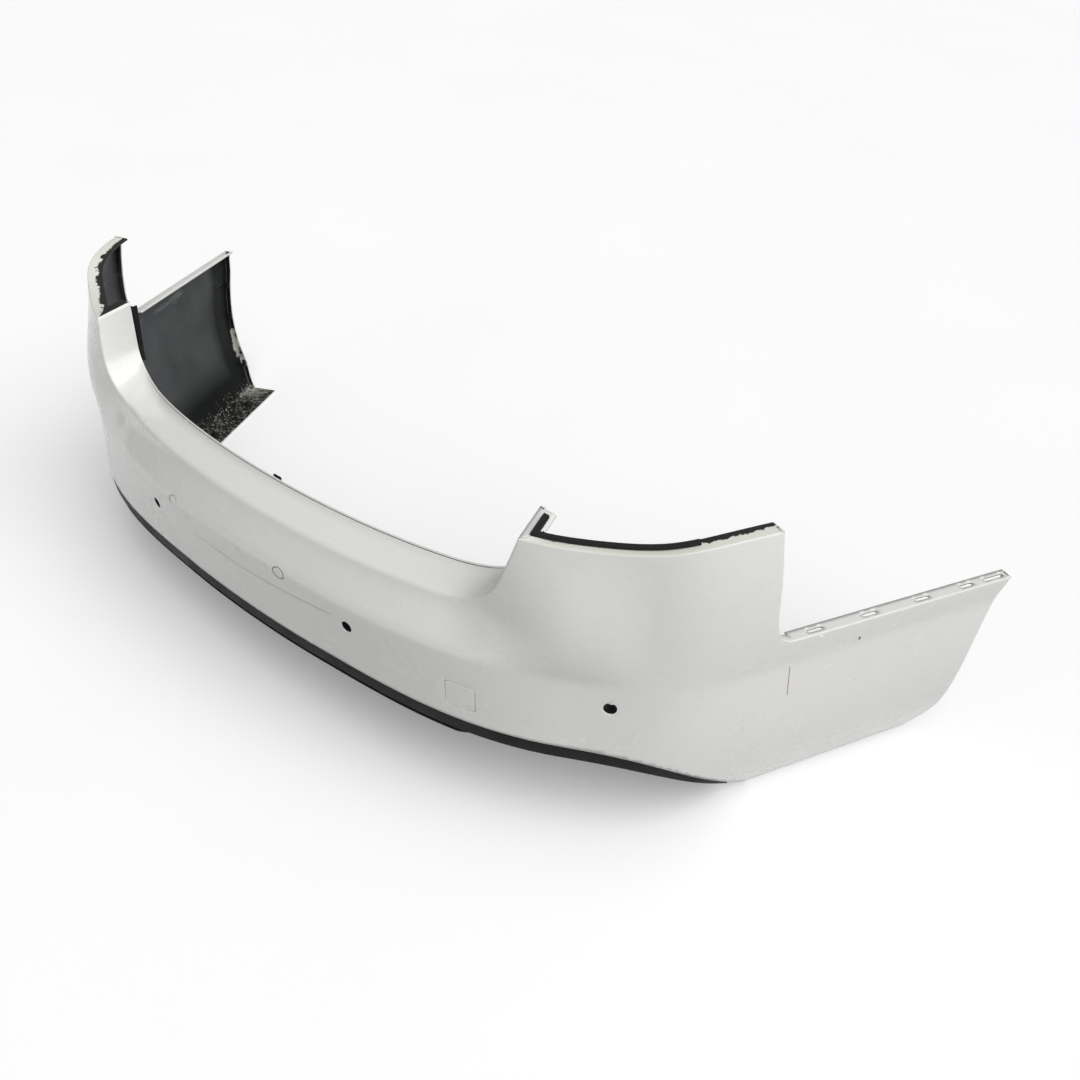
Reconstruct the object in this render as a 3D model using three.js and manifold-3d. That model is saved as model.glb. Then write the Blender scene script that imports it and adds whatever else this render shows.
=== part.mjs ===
// Rear bumper cover of a saloon car, in millimetres, +Z up, the outside of the rear towards -Y.
// The painted skin is one thin shell; everything else is fixed to it, and one small cover swings out of it.
import * as THREE from 'three';
import { mergeGeometries, mergeVertices } from 'three/addons/utils/BufferGeometryUtils.js';
import Module from 'manifold-3d';

const wasm = await Module();
wasm.setup();

// ---------- driving dimensions ----------
const SKIN = 3.0;              // wall of the painted shell
const VALANCE_WALL = 2.5;      // wall of the black lower mouldings
const GAP = 0.5;               // space kept between neighbouring pieces

const REAR_HALF = 561;         // half width of the gently curved rear stretch
const REAR_Y = -108;           // rearmost line of the shell, on the centre line
const REAR_RISE = [64, 35, 8]; // how far the rear stretch comes forward, by even powers of the half width
const CORNER_TURN = [29.4, 65];         // plan angles where the corner starts and ends, in degrees
const CORNER_END = [771, 220];          // where the corner meets the wing
const CORNER_PULL = [460, 480];         // tangent lengths of the corner curve at its two ends
const WING_LENGTH = 366;                // length of the straight wing for one unit of station

const CREASE_Z = 338.6;        // edge between the boot ledge and the upper face
const LINE_Z = 283.5;          // character line at the centre
const LINE_DROP = 9;           // how far that line drops towards the corner
const FACE_LEAN = 40;          // how far the upper face leans forward from line to crease
const FACE_HEIGHT = 58;
const LOWER_Z = 158;           // lower painted edge at the centre
const SIDE_DEPTH = 274;        // height of the wing below the character line
const LEDGE_DEPTH = 52;        // ledge and its upstand together
const LEDGE_RISE = 23.4;       // height of the ledge's front edge above its crease
const FLAT_PART = 0.82;        // share of the ledge's depth that lies behind its crease
const LEDGE_DIP = 7.5;         // how far that crease lies below a straight line
const LIP = 9;                 // small turned-down lip along the boot opening

const POST_START = 0.69;       // station where the ledge starts to turn up into the post
const POST_TOP = [0.893, 462.3];        // station and height of the lamp's inner corner
const POST_TIP = [474, 60, 476.9];      // front end of the post's top edge
const SEAM_TOP = [1.932, 489];          // quarter panel seam, upper end: station and height
const SEAM_FOOT = [1.99, 321];          // the same, lower end
const WING_TOP_FALL = 9;       // how far the wing's top edge falls from the seam to the tip
const WING_END = 2.80;         // station of the wheel arch edge at the ground
const WING_TIP = 2.985;        // station of the wing's top corner
const WING_MIDDLE = 2.5;       // the wing is flat in plan, so one station gives its direction
const EDGE_FALL = 0.8;         // station where the painted edge starts to fall to the ground

const SEAT_FLANGE = 26;
const SEAM_FLANGE = 14;
const WING_FLANGE = 20;
const SKIRT_FLANGE = 62;
const ARCH_FLANGE = 13;

const VALANCE_END = 1.9;       // station where the black lower band runs out
const VALANCE_TAB = 12;        // height of its tab behind the painted edge
const PANEL_END = 0.8;         // station where the centre panel ends
const PANEL_FOOT = 24;         // width of that panel's flat foot

const SEAL_HEIGHT = 4.5;       // foam strip on the lamp's seat
const SENSOR_HOLE = 18.5;      // diameter
const SENSOR_AT = [[0.427, 240], [1.173, 236]];   // station and height of the inner and outer holes
const TOW_AT = [0.766, 202];
const TOW_SIZE = [46, 40];
const TOW_CORNER = 9;
const TOW_GAP = 0.8;

// ---------- colours ----------
const paint = new THREE.MeshStandardMaterial({ color: 0xe9e8e2, roughness: 0.18, metalness: 0 });
const blackPlastic = new THREE.MeshStandardMaterial({ color: 0x1b1c1d, roughness: 0.62, metalness: 0 });
const foam = new THREE.MeshStandardMaterial({ color: 0x121212, roughness: 0.95, metalness: 0 });
const steel = new THREE.MeshStandardMaterial({ color: 0x8d8f91, roughness: 0.4, metalness: 1 });

// ---------- small helpers ----------
const V = (x, y, z) => new THREE.Vector3(x, y, z);
const mix = (a, b, t) => a + (b - a) * t;
const ease = (a, b, v) => THREE.MathUtils.smoothstep(v, a, b);
const steps = (a, b, n) => Array.from({ length: n + 1 }, (_, i) => mix(a, b, i / n));

// ---------- the outer surface ----------
// A station runs 0 at the centre, 1 at the start of the corner, 2 at its end and 3 past the wheel arch.
function rearCurve(q) {
  const u = q * q;
  const y = REAR_Y + u * (REAR_RISE[0] + u * (REAR_RISE[1] + u * REAR_RISE[2]));
  const slope = (REAR_RISE[0] + u * (2 * REAR_RISE[1] + u * 3 * REAR_RISE[2])) * 2 * q / REAR_HALF;
  return { point: [REAR_HALF * q, y], along: [1, slope] };
}

function cornerCurve(w) {
  const start = rearCurve(1).point;
  const [t0, t1] = CORNER_TURN.map((deg, i) => {
    const a = THREE.MathUtils.degToRad(deg);
    return [CORNER_PULL[i] * Math.cos(a), CORNER_PULL[i] * Math.sin(a)];
  });
  const h = [2 * w ** 3 - 3 * w * w + 1, w ** 3 - 2 * w * w + w, 3 * w * w - 2 * w ** 3, w ** 3 - w * w];
  const d = [6 * w * w - 6 * w, 3 * w * w - 4 * w + 1, 6 * w - 6 * w * w, 3 * w * w - 2 * w];
  const blend = (k, i) => k[0] * start[i] + k[1] * t0[i] + k[2] * CORNER_END[i] + k[3] * t1[i];
  return { point: [blend(h, 0), blend(h, 1)], along: [blend(d, 0), blend(d, 1)] };
}

function wingCurve(w) {
  const a = THREE.MathUtils.degToRad(CORNER_TURN[1]);
  const along = [Math.cos(a), Math.sin(a)];
  return { point: CORNER_END.map((c, i) => c + WING_LENGTH * w * along[i]), along };
}

function planCurve(half) {
  if (half <= 1) return rearCurve(half);
  if (half <= 2) return cornerCurve(half - 1);
  return wingCurve(half - 2);
}

function planAt(q) {
  const half = Math.abs(q);
  const side = q < 0 ? -1 : 1;
  const { point, along } = planCurve(half);
  const length = Math.hypot(...along);
  return {
    x: side * point[0],
    y: point[1],
    out: V(side * along[1] / length, -along[0] / length, 0),
    along: V(along[0] / length, side * along[1] / length, 0),
  };
}

const lineZ = (q) => LINE_Z - LINE_DROP * ease(0, 1, Math.abs(q));

// straight at first, then rounding off to 1
function settle(v) {
  if (v < 0.75) return v;
  return v > 1.25 ? 1 : v - (v - 0.75) ** 2;
}

// how far the shell stands out of its plan curve at a height
function standOut(q, z) {
  const half = Math.abs(q);
  const t = z - lineZ(q);
  if (t >= 0) {
    const k = Math.max(-0.2, Math.min(1, half - 1));
    const shoulder = 14 * Math.sin(Math.PI * Math.min(1, t / 190) ** 0.8) * (1 - ease(1, 1.35, half));
    const corner = (0.32 * k - 0.16) * t - 0.00102 * k * t * t + shoulder;
    return mix(-FACE_LEAN * settle(t / FACE_HEIGHT), corner, ease(0.7, 1.02, half));
  }
  const depth = -t / SIDE_DEPTH;
  const side = 10 * depth - 59 * depth ** 3;
  const rear = (-t / 120) * (17 * ease(0.3, 1.05, half) - 7);
  return mix(rear, side, ease(0.9, 1.9, half));
}

function surface(q, z, lift = 0) {
  const plan = planAt(q);
  const n = standOut(q, z) + lift;
  return V(plan.x + plan.out.x * n, plan.y + plan.out.y * n, z);
}

// ---------- edges of the shell, as station and height ----------
function lowerZ(q) {
  const half = Math.abs(q);
  const fall = Math.max(0, half - EDGE_FALL) / (SEAM_FOOT[0] - EDGE_FALL);
  return half >= SEAM_FOOT[0] ? 0 : LOWER_Z * (1 - fall ** 2.9);
}

const archStation = (z) => WING_END + 0.065 * ease(0, 70, z) + 0.12 * (z / 309) ** 3;
const wingTopZ = (q) => SEAM_FOOT[1] - WING_TOP_FALL * (Math.abs(q) - SEAM_FOOT[0]);
const seatZ = (q) => mix(POST_TOP[1], SEAM_TOP[1], ease(0.95, 1.93, Math.abs(q)));

function postEdge(w) {
  const foot = [POST_START, CREASE_Z];
  const elbow = [0.815, CREASE_Z];
  const knee = [0.853, 401];
  const bend = 0.6;
  if (w > bend) {
    const t = (w - bend) / (1 - bend);
    return [mix(knee[0], POST_TOP[0], t), mix(knee[1], POST_TOP[1], t)];
  }
  const t = w / bend;
  const curve = (i) => (1 - t) ** 2 * foot[i] + 2 * t * (1 - t) * elbow[i] + t * t * knee[i];
  return [curve(0), curve(1)];
}

// the seam comes up out of the wing's top edge in a bend, then stands upright
function seamEdge(w) {
  const bend = 0.32;
  const knee = [1.927, 375];
  if (w > bend) {
    const t = (w - bend) / (1 - bend);
    return [mix(knee[0], SEAM_TOP[0], t), mix(knee[1], SEAM_TOP[1], t)];
  }
  const t = w / bend;
  const elbow = [1.93, 326];
  const curve = (i) => (1 - t) ** 2 * SEAM_FOOT[i] + 2 * t * (1 - t) * elbow[i] + t * t * knee[i];
  return [curve(0), curve(1)];
}

// front edge of the ledge, turning up into the front edge of the post
function openingEdge(w) {
  const foot = ledgeFront(POST_START);
  const elbow = V(450, 44, foot.z);
  const knee = V(463, 51, 401);
  const bend = 0.6;
  if (w > bend) return knee.clone().lerp(V(...POST_TIP), (w - bend) / (1 - bend));
  return new THREE.QuadraticBezierCurve3(foot, elbow, knee).getPoint(w / bend);
}

function ledgeFront(q) {
  const edge = surface(q, CREASE_Z);
  return edge.addScaledVector(planAt(q).out, -LEDGE_DEPTH).setZ(CREASE_Z + LEDGE_RISE);
}

const mirrored = (p) => V(-p.x, p.y, p.z);

// ---------- sheets: grids of points joined into one thin shell ----------
// Each grid is a list of rows; seen from outside, rows go up and columns go to the right.
// Every four-cornered cell is split along its shorter diagonal, so both hands come out alike.
function sheetSolid(grids, wall) {
  const points = [];
  const seen = new Map();
  const faces = [];
  const indexOf = (p) => {
    const key = [p.x, p.y, p.z].map((c) => Math.round(c * 100)).join(' ');
    if (!seen.has(key)) seen.set(key, points.push(p.clone()) - 1);
    return seen.get(key);
  };
  const addFace = (...corners) => {
    if (new Set(corners).size === 3) faces.push(corners);
  };
  for (const rows of grids) {
    const ids = rows.map((row) => row.map(indexOf));
    for (let r = 0; r + 1 < ids.length; r++) {
      for (let c = 0; c + 1 < ids[r].length; c++) {
        const [a, b, c1, d] = [ids[r][c], ids[r][c + 1], ids[r + 1][c + 1], ids[r + 1][c]];
        if (points[a].distanceTo(points[c1]) < points[b].distanceTo(points[d]) + 1e-6) {
          addFace(a, b, c1);
          addFace(a, c1, d);
        } else {
          addFace(a, b, d);
          addFace(b, c1, d);
        }
      }
    }
  }
  return thicken(points, faces, wall);
}

function faceNormal(points, face) {
  const [a, b, c] = face.map((i) => points[i]);
  return b.clone().sub(a).cross(c.clone().sub(a)).normalize();
}

// moves every point in by the wall, square to all the faces around it, and closes the rim
function thicken(points, faces, wall) {
  const around = points.map(() => []);
  for (const face of faces) {
    const normal = faceNormal(points, face);
    face.forEach((i, k) => {
      const others = [face[(k + 1) % 3], face[(k + 2) % 3]];
      const [a, b] = others.map((other) => points[other].clone().sub(points[i]));
      around[i].push({ normal, angle: a.angleTo(b) });
    });
  }
  const inner = points.map((p, i) => {
    const sum = V(0, 0, 0);
    for (const { normal, angle } of around[i]) sum.addScaledVector(normal, angle);
    const mean = sum.normalize();
    const spread = Math.max(0.55, Math.min(...around[i].map(({ normal }) => normal.dot(mean))));
    return p.clone().addScaledVector(mean, -wall / spread);
  });
  const count = points.length;
  const triangles = [];
  const edges = new Map();
  for (const [a, b, c] of faces) {
    triangles.push([a, b, c], [a + count, c + count, b + count]);
    for (const [i, j] of [[a, b], [b, c], [c, a]]) edges.set(`${i} ${j}`, [i, j]);
  }
  for (const [i, j] of edges.values()) {
    if (!edges.has(`${j} ${i}`)) triangles.push([j, i, i + count], [j, i + count, j + count]);
  }
  const geometry = new THREE.BufferGeometry();
  const position = [...points, ...inner].flatMap((p) => [p.x, p.y, p.z]);
  geometry.setAttribute('position', new THREE.Float32BufferAttribute(position, 3));
  geometry.setIndex(triangles.flat());
  return toSolid(geometry);
}

// ---------- solids ----------
function toSolid(geometry) {
  const bare = geometry.index ? geometry.clone() : geometry;
  bare.deleteAttribute('normal');
  bare.deleteAttribute('uv');
  const merged = mergeVertices(bare, 1e-4);
  return new wasm.Manifold(new wasm.Mesh({
    numProp: 3,
    vertProperties: new Float32Array(merged.attributes.position.array),
    triVerts: new Uint32Array(merged.index.array),
  }));
}

function toGeometry(solid) {
  const mesh = solid.getMesh();
  const geometry = new THREE.BufferGeometry();
  geometry.setAttribute('position', new THREE.BufferAttribute(mesh.vertProperties, 3));
  geometry.setIndex(new THREE.BufferAttribute(mesh.triVerts, 1));
  return geometry;
}

function placed(geometry, matrix) {
  return toSolid(geometry.clone().applyMatrix4(matrix));
}

// a frame on the shell: X along it, Y up, Z out of it
function frameOn(q, z, lift = 0) {
  const plan = planAt(q);
  const right = plan.along.clone();
  const above = surface(q, z + 4).sub(surface(q, z - 4)).normalize();
  const out = right.clone().cross(above).normalize();
  const up = out.clone().cross(right);
  const origin = surface(q, z).addScaledVector(out, lift);
  return new THREE.Matrix4().makeBasis(right, up, out).setPosition(origin);
}

function ring(outer, inner, from, to, segments = 24) {
  const profile = [V(inner, from, 0), V(outer, from, 0), V(outer, to, 0), V(inner, to, 0), V(inner, from, 0)];
  const points = profile.map((p) => new THREE.Vector2(p.x, p.y));
  return new THREE.LatheGeometry(points, segments).rotateX(Math.PI / 2);
}

function disc(radius, from, to, segments = 24) {
  return new THREE.CylinderGeometry(radius, radius, to - from, segments)
    .rotateX(Math.PI / 2)
    .translate(0, 0, (from + to) / 2);
}

function block(width, height, from, to) {
  return new THREE.BoxGeometry(width, height, to - from).translate(0, 0, (from + to) / 2);
}

// ---------- painted skin ----------
const rearStations = steps(-POST_START, POST_START, 18);
const lampFractions = steps(0, 1, 12);
const postRows = [0, 0.18, 0.32, 0.46, 0.6, 0.8, 1];
const wingFractions = steps(0, 1, 7);
const lowerRows = [0, 0.12, 0.3, 0.5, 0.75, 1];
const upperRows = [0, 0.4, 0.75, 1];

// columns of the lower band: the same station at every height, except on the wing
function columnStation(column, z) {
  if (column.wing === undefined) return column.q;
  return column.side * mix(SEAM_FOOT[0], archStation(z), column.wing);
}

function bandTop(column) {
  const half = Math.abs(column.q);
  if (column.wing !== undefined) return wingTopZ(mix(SEAM_FOOT[0], WING_TIP, column.wing));
  if (half <= POST_START) return CREASE_Z;
  return mix(CREASE_Z, SEAM_FOOT[1], (half - POST_START) / (SEAM_FOOT[0] - POST_START));
}

function bandColumns() {
  const lamp = lampFractions.slice(1).map((f) => ({ side: 1, q: mix(POST_START, SEAM_FOOT[0], f) }));
  const wing = wingFractions.slice(1).map((f) => ({ side: 1, q: SEAM_FOOT[0] + f, wing: f }));
  const right = [...lamp, ...wing];
  const left = right.map((c) => ({ ...c, side: -1, q: -c.q })).reverse();
  return [...left, ...rearStations.map((q) => ({ side: 1, q })), ...right];
}

// the skin's own stations out to a limit on both sides
const skinStations = (limit) => bandColumns().map((column) => column.q).filter((q) => Math.abs(q) <= limit);

function bandHeights(column) {
  const bottom = column.wing === undefined ? lowerZ(column.q) : 0;
  const line = lineZ(column.q);
  const top = bandTop(column);
  const below = lowerRows.map((f) => mix(bottom, line, f));
  return [...below, ...upperRows.slice(1).map((f) => mix(line, top, f))];
}

function lowerBand() {
  const columns = bandColumns();
  const heights = columns.map(bandHeights);
  return heights[0].map((_, r) => columns.map((c, i) => {
    const z = heights[i][r];
    return surface(columnStation(c, z), z);
  }));
}

function lampPoint(f, w) {
  const [q0, z0] = postEdge(w);
  const [q1, z1] = seamEdge(w);
  const q = mix(q0, q1, f);
  const straight = mix(z0, z1, f);
  return surface(q, straight + (seatZ(q) - mix(POST_TOP[1], SEAM_TOP[1], f)) * w * w);
}

function lampPanel() {
  return postRows.map((w) => lampFractions.map((f) => lampPoint(f, w)));
}

// the ledge over the boot opening with both posts, as rows from the outer crease forward
function ledge() {
  const posts = postRows.slice(1);
  const outer = [
    ...posts.map((w) => mirrored(surface(...postEdge(w)))).reverse(),
    ...rearStations.map((q) => surface(q, CREASE_Z)),
    ...posts.map((w) => surface(...postEdge(w))),
  ];
  const front = [
    ...posts.map((w) => mirrored(openingEdge(w))).reverse(),
    ...rearStations.map(ledgeFront),
    ...posts.map(openingEdge),
  ];
  const dip = outer.map((p) => LEDGE_DIP * (1 - ease(CREASE_Z, CREASE_Z + 60, p.z)));
  const crease = outer.map((p, i) => p.clone().lerp(front[i], FLAT_PART).add(V(0, 0, -dip[i])));
  const lip = front.map((p, i) => {
    const post = ease(CREASE_Z + LEDGE_RISE, 401, p.z);
    const side = Math.sign(p.x) || 1;
    return p.clone().add(V(side * LIP * post, 0, -LIP * (1 - post)));
  });
  return [outer, crease, front, lip];
}

// the lamp's seat: a narrow flange along the post's top and the lamp's lower edge
function seatFlange() {
  const edge = lampFractions.map((f) => lampPoint(f, 1));
  const tip = V(...POST_TIP);
  const middle = edge[0].clone().lerp(tip, FLAT_PART);
  const line = [tip, middle, ...edge];
  const inward = lampFractions.map((f) => {
    const q = mix(POST_TOP[0], SEAM_TOP[0], f);
    return planAt(q).out.clone().multiplyScalar(-SEAT_FLANGE);
  });
  const beside = V(SEAT_FLANGE, 2, 0);
  inward[0].add(beside);
  const offsets = [beside, beside, ...inward];
  const back = line.map((p, i) => p.clone().add(offsets[i]).add(V(0, 0, -2)));
  return [line, back];
}

function seamFlange() {
  const edge = postRows.map((w) => lampPoint(1, w));
  const out = planAt(SEAM_FOOT[0]).out;
  const back = edge.map((p) => p.clone().addScaledVector(out, -SEAM_FLANGE));
  return edge.map((p, i) => [p, back[i]]);
}

function wingTopFlange() {
  const edge = wingFractions.map((f) => {
    const z = wingTopZ(mix(SEAM_FOOT[0], WING_TIP, f));
    return surface(mix(SEAM_FOOT[0], archStation(z), f), z);
  });
  const out = planAt(WING_MIDDLE).out;
  const back = edge.map((p) => p.clone().addScaledVector(out, -WING_FLANGE));
  return [edge, back];
}

function skirtFlange() {
  const edge = wingFractions.map((f) => surface(mix(SEAM_FOOT[0], archStation(0), f), 0));
  const out = planAt(WING_MIDDLE).out;
  const back = edge.map((p) => p.clone().addScaledVector(out, -SKIRT_FLANGE));
  return [back, edge];
}

function archFlange() {
  const column = { side: 1, q: SEAM_FOOT[0] + 1, wing: 1 };
  const heights = bandHeights(column);
  const edge = heights.map((z) => surface(archStation(z), z));
  const inward = planAt(WING_MIDDLE).out.clone().multiplyScalar(-ARCH_FLANGE);
  return heights.map((z, i) => [edge[i], edge[i].clone().add(inward)]);
}

const mirrorRows = (rows) => rows.map((row) => row.map(mirrored).reverse());

function skinShell() {
  const oneSide = [lampPanel(), seatFlange(), seamFlange(), wingTopFlange(), skirtFlange(), archFlange()];
  const grids = [lowerBand(), ledge(), ...oneSide, ...oneSide.map(mirrorRows)];
  return sheetSolid(grids, SKIN);
}

function sensorHoles(solid) {
  const drill = disc(SENSOR_HOLE / 2, -12, 12);
  for (const [q, z] of SENSOR_AT) {
    for (const side of [-1, 1]) solid = solid.subtract(placed(drill, frameOn(side * q, z)));
  }
  return solid;
}

// a rectangle with two opposite corners cut off round and the other two small
function towOutline(grow) {
  const [w, h] = TOW_SIZE.map((size) => size / 2 + grow);
  const shape = new THREE.Shape();
  const small = 3 + grow;
  const large = TOW_CORNER + grow;
  shape.moveTo(-w + large, -h);
  shape.lineTo(w - small, -h);
  shape.quadraticCurveTo(w, -h, w, -h + small);
  shape.lineTo(w, h - large);
  shape.quadraticCurveTo(w, h, w - large, h);
  shape.lineTo(-w + small, h);
  shape.quadraticCurveTo(-w, h, -w, h - small);
  shape.lineTo(-w, -h + large);
  shape.quadraticCurveTo(-w, -h, -w + large, -h);
  return shape;
}

function towPrism(grow) {
  const depth = 24;
  return new THREE.ExtrudeGeometry(towOutline(grow), { depth, bevelEnabled: false, curveSegments: 5 })
    .translate(0, 0, -depth / 2);
}

const wingFrame = (f, side, z) => {
  const q = mix(SEAM_FOOT[0], archStation(z), f);
  const plan = planAt(side * q);
  const origin = surface(side * q, z);
  return new THREE.Matrix4().makeBasis(plan.along, plan.out, V(0, 0, -1)).setPosition(origin);
};

// slots in the wing's top flange for the body's guide rail, and screw holes in the bottom flange
const SLOTS = [[0.11, 24], [0.35, 24], [0.59, 24], [0.8, 22], [0.93, 34]];   // place and length
const SLOT_WIDTH = 7;
const SLOT_INSET = 10;         // from the flange's outer edge to the slot's middle
const SKIRT_HOLES = [0.22, 0.72];
const SKIRT_HOLE_INSET = 34;
const SKIRT_HOLE = 8;          // diameter

function wingCuts(solid) {
  for (const side of [-1, 1]) {
    for (const [f, length] of SLOTS) {
      const z = wingTopZ(mix(SEAM_FOOT[0], WING_TIP, f));
      const cutter = block(length, SLOT_WIDTH, -12, 12).translate(0, -SLOT_INSET, 0);
      solid = solid.subtract(placed(cutter, wingFrame(f, side, z)));
    }
    for (const f of SKIRT_HOLES) {
      const cutter = disc(SKIRT_HOLE / 2, -10, 10).translate(0, -SKIRT_HOLE_INSET, 0);
      solid = solid.subtract(placed(cutter, wingFrame(f, side, 0)));
    }
  }
  return solid;
}

// ---------- lower mouldings ----------
// rows of the black valance from its inner foot up to the tab behind the painted edge
const bandHeight = (q) => 20 * (lowerZ(q) / 150) ** 1.3;
const tuck = (q) => mix(1.12, 1.42, ease(0, 1, Math.abs(q)));

function valancePoint(q, inset, z) {
  const edge = surface(q, lowerZ(q));
  return edge.addScaledVector(planAt(q).out, -inset).setZ(z);
}

const bandFoot = (q) => lowerZ(q) - bandHeight(q);
const tabInset = (q) => (SKIN + GAP) * (1 + 0.4 * ease(1, VALANCE_END, Math.abs(q)));

function valance() {
  const columns = skinStations(VALANCE_END);
  const scale = (q) => lowerZ(q) / LOWER_Z;
  const foot = (q) => 12 * scale(q);
  const reach = (q) => tuck(q) * (bandFoot(q) - foot(q));
  return sheetSolid([[
    columns.map((q) => valancePoint(q, reach(q) + 8, foot(q))),
    columns.map((q) => valancePoint(q, 0.6 * reach(q) + 26 * scale(q), mix(bandFoot(q), foot(q), 0.5))),
    columns.map((q) => valancePoint(q, 42 * scale(q) + 2, bandFoot(q) - 13 * scale(q))),
    columns.map((q) => valancePoint(q, 0.8, bandFoot(q))),
    columns.map((q) => valancePoint(q, 0.6, lowerZ(q) - GAP)),
    columns.map((q) => valancePoint(q, tabInset(q), lowerZ(q) - GAP)),
    columns.map((q) => surface(q, lowerZ(q) + VALANCE_TAB, -tabInset(q))),
  ]], VALANCE_WALL);
}

// the centre panel hangs under the valance and carries the cover when it stands on the ground
function centrePanel() {
  const columns = skinStations(PANEL_END);
  const foot = (q) => tuck(q) * bandFoot(q) - 12;
  const round = (q) => 5 * ease(PANEL_END - 0.05, PANEL_END, Math.abs(q));
  return sheetSolid([[
    columns.map((q) => valancePoint(q, foot(q) + PANEL_FOOT, 0)),
    columns.map((q) => valancePoint(q, foot(q), 0)),
    columns.map((q) => valancePoint(q, 0.6 * foot(q) + 20, 0.5 * bandFoot(q) - 9)),
    columns.map((q) => valancePoint(q, 40, bandFoot(q) - 20.5)),
    columns.map((q) => valancePoint(q, 3 + round(q), bandFoot(q) - 8 + 0.4 * round(q))),
    columns.map((q) => valancePoint(q, 2 + round(q), bandFoot(q) - 3.8)),
  ]], VALANCE_WALL);
}

// ---------- lamp seat seal, post bracket ----------
function lampSeal() {
  const [line, back] = seatFlange();
  const count = 11;
  const lift = V(0, 0, 2 * GAP + SEAL_HEIGHT);
  for (const row of [line, back]) row[0].lerp(row[1], 0.3);
  const lifted = (t) => line.slice(0, count).map((p, i) => p.clone().lerp(back[i], t).add(lift));
  return sheetSolid([[lifted(0.46), lifted(0.8)]], SEAL_HEIGHT);
}

// a strip screwed along the post's front edge: one leg on the turned lip, the other standing forward,
// and it narrows towards its foot
function postBracket() {
  const rows = steps(0.42, 0.97, 6).map((w) => {
    const edge = openingEdge(w);
    const stand = VALANCE_WALL + GAP;
    return [
      edge.clone().add(V(LIP - 1, stand, -3)),
      edge.clone().add(V(1, stand, -3)),
      edge.clone().add(V(1, stand + mix(1, 8, w), -3)),
    ];
  });
  return sheetSolid([rows], 2);
}

// ---------- fixings ----------
const VALANCE_CLIPS = [-1.45, -1.1, -0.68, -0.23, 0.23, 0.68, 1.1, 1.45];   // stations
const PANEL_SCREWS = [-0.6, -0.2, 0.2, 0.6];                                 // stations
const ARCH_CLIPS = [57, 171, 240];                                           // heights
const HOLDER_TUBE = [15, 16];       // outer radius and depth
const HOLDER_FOOT = [20, 3];
const HOLDER_BORE = SENSOR_HOLE / 2 + 0.2;
const VALANCE_CLIP = [16, 10, 5];
const ARCH_CLIP = [8, 16, 2.5];
const SCREW_HEAD = [7, 3];          // radius and height
const NUT_PLATE = [22, 18, 1.5];
const NUT = [7, 6, 3];              // radius, height and thread radius
const BOOT_CLIP = [16, 2.5, 6];

function sensorHolder() {
  const tube = toSolid(ring(HOLDER_TUBE[0], HOLDER_BORE, -HOLDER_TUBE[1], 0));
  const foot = toSolid(ring(HOLDER_FOOT[0], HOLDER_BORE, -HOLDER_FOOT[1], 0));
  const ears = toSolid(block(6, 36, -12, -8));
  const bore = toSolid(disc(HOLDER_BORE, -20, 5));
  return tube.add(foot).add(ears).subtract(bore);
}

function moved(solid, matrix) {
  return toSolid(toGeometry(solid).applyMatrix4(matrix));
}

const copies = (geometry, frames) => frames.map((frame) => placed(geometry, frame));

function valanceClips() {
  const behind = (q) => tabInset(q) + VALANCE_WALL + 2.5 * GAP + 1.2 * ease(1, 1.4, Math.abs(q));
  const frames = VALANCE_CLIPS.map((q) => frameOn(q, lowerZ(q) + VALANCE_TAB / 2, -behind(q)));
  const [width, height, depth] = VALANCE_CLIP;
  return copies(block(width, height, -depth, 0), frames);
}

// screws that come up through the centre panel's foot
function panelScrews() {
  const frames = PANEL_SCREWS.map((q) => {
    const at = valancePoint(q, tuck(q) * bandFoot(q) + 1, VALANCE_WALL + GAP);
    return new THREE.Matrix4().setPosition(at);
  });
  return copies(disc(SCREW_HEAD[0], 0, SCREW_HEAD[1], 12), frames);
}

function archClips(side) {
  const [width, height, depth] = ARCH_CLIP;
  const out = planAt(side * WING_MIDDLE).out;
  const frames = ARCH_CLIPS.map((z) => {
    const [low, high] = [z - 24, z + 24].map((at) => surface(side * archStation(at), at));
    const up = high.clone().sub(low).normalize();
    const away = out.clone().cross(up).normalize();
    const squareUp = away.clone().cross(out);
    const behind = side * (SKIN + 5 * GAP + depth / 2);
    const at = low.lerp(high, 0.5).addScaledVector(out, -9.5).addScaledVector(away, behind);
    return new THREE.Matrix4().makeBasis(out, squareUp, away).setPosition(at);
  });
  return copies(block(width, height, -depth / 2, depth / 2), frames);
}

function skirtNuts(side) {
  const frames = SKIRT_HOLES.map((f) => {
    const frame = wingFrame(f, side, 0);
    const at = V(0, -SKIRT_HOLE_INSET, 0).applyMatrix4(frame).setZ(SKIN + 0.4);
    return new THREE.Matrix4().setPosition(at);
  });
  const [width, length, thick] = NUT_PLATE;
  const [radius, height, thread] = NUT;
  const plate = toSolid(block(width, length, 0, thick)).add(toSolid(disc(radius, 0, height, 6)));
  const nut = plate.subtract(toSolid(disc(thread, -1, height + 1, 16)));
  return frames.map((frame) => moved(nut, frame));
}

function bootClip() {
  const edge = ledgeFront(0.02);
  const frame = new THREE.Matrix4().setPosition(edge.add(V(0, GAP, -2)));
  return placed(new THREE.BoxGeometry(...BOOT_CLIP).translate(0, BOOT_CLIP[1] / 2, 0), frame);
}

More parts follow.
